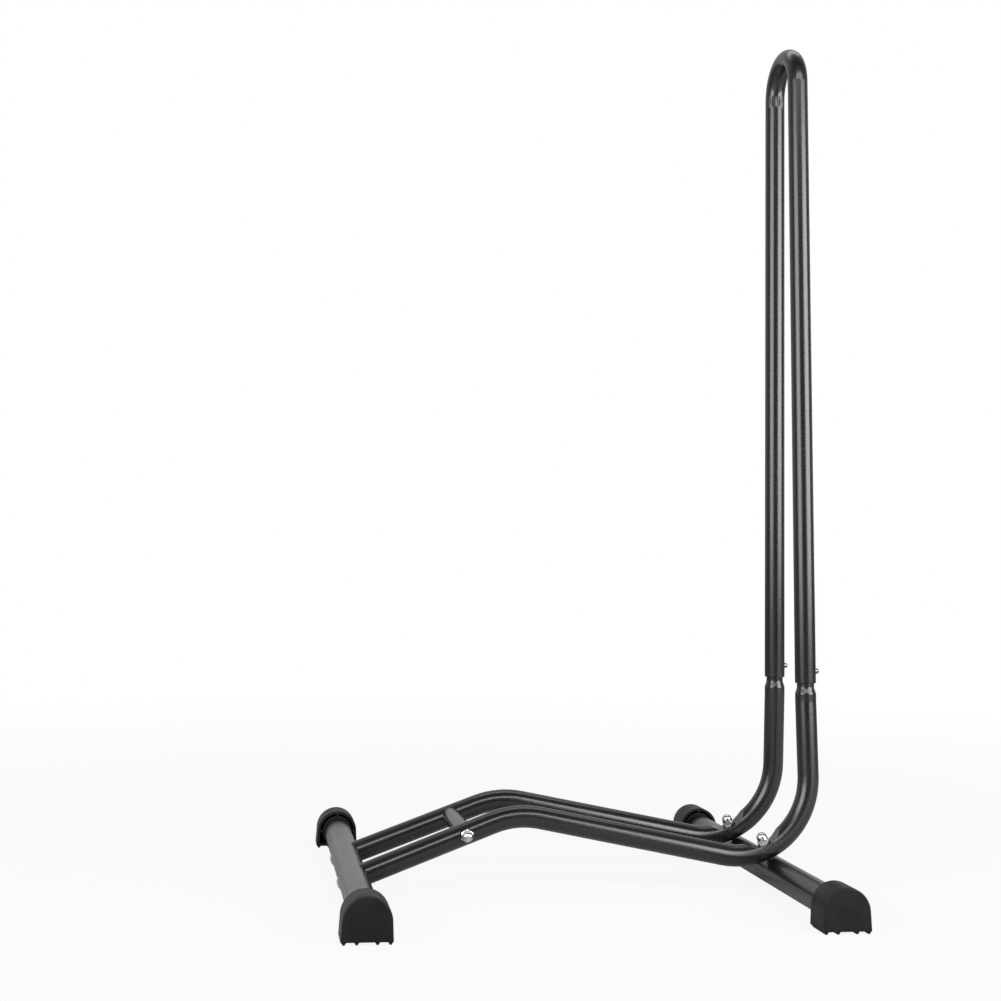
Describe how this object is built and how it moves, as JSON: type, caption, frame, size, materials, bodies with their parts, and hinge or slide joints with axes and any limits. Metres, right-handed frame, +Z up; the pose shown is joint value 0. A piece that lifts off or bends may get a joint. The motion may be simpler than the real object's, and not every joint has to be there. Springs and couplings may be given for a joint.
{
  "type": "floor bike rack",
  "caption": "Free-standing floor rack that holds one bicycle by its wheel between two side tubes and a tall hoop.",
  "frame": {"origin": "on the floor, midway along the rack and across it", "axes": "+X from the rear foot towards the hoop, +Y across the rack, +Z up"},
  "size_m": [0.443, 0.44, 0.795],
  "materials": {
    "coated_tube": "semi-gloss black powder coat",
    "cap_plastic": "fine matte moulded",
    "zinc_fastener": "bright zinc plating",
    "plug_steel": "plain turned steel",
    "button_steel": "satin plated",
    "spring_steel": "blued spring steel"
  },
  "bodies": {
    "frame": {"hoop": "coated_tube", "side_tube_near": "coated_tube", "side_tube_far": "coated_tube", "front_foot_tube": "coated_tube", "rear_foot_tube": "coated_tube", "spacer_tube": "coated_tube", "foot_cap_front_near": "cap_plastic", "foot_cap_front_far": "cap_plastic", "foot_cap_rear_near": "cap_plastic", "foot_cap_rear_far": "cap_plastic", "spacer_bolt": "zinc_fastener", "spacer_nut": "zinc_fastener", "front_foot_bolts": "zinc_fastener", "front_foot_nuts": "zinc_fastener", "rear_foot_bolts": "zinc_fastener", "arm_end_plugs": "plug_steel", "button_spring_near": "spring_steel", "button_spring_far": "spring_steel"},
    "button_near": {"snap_button_near": "button_steel"},
    "button_far": {"snap_button_far": "button_steel"}
  },
  "joints": [
    {"name": "press_snap_button_near", "type": "slide", "parent": "frame", "child": "button_near", "axis": [-1, 0, 0], "range_m": [0, 0.0053], "stiffness_N_per_m": 1000, "springref_m": -0.003, "deforming": ["button_spring_near"]},
    {"name": "press_snap_button_far", "type": "slide", "parent": "frame", "child": "button_far", "axis": [-1, 0, 0], "range_m": [0, 0.0053], "stiffness_N_per_m": 1000, "springref_m": -0.003, "deforming": ["button_spring_far"]}
  ]
}
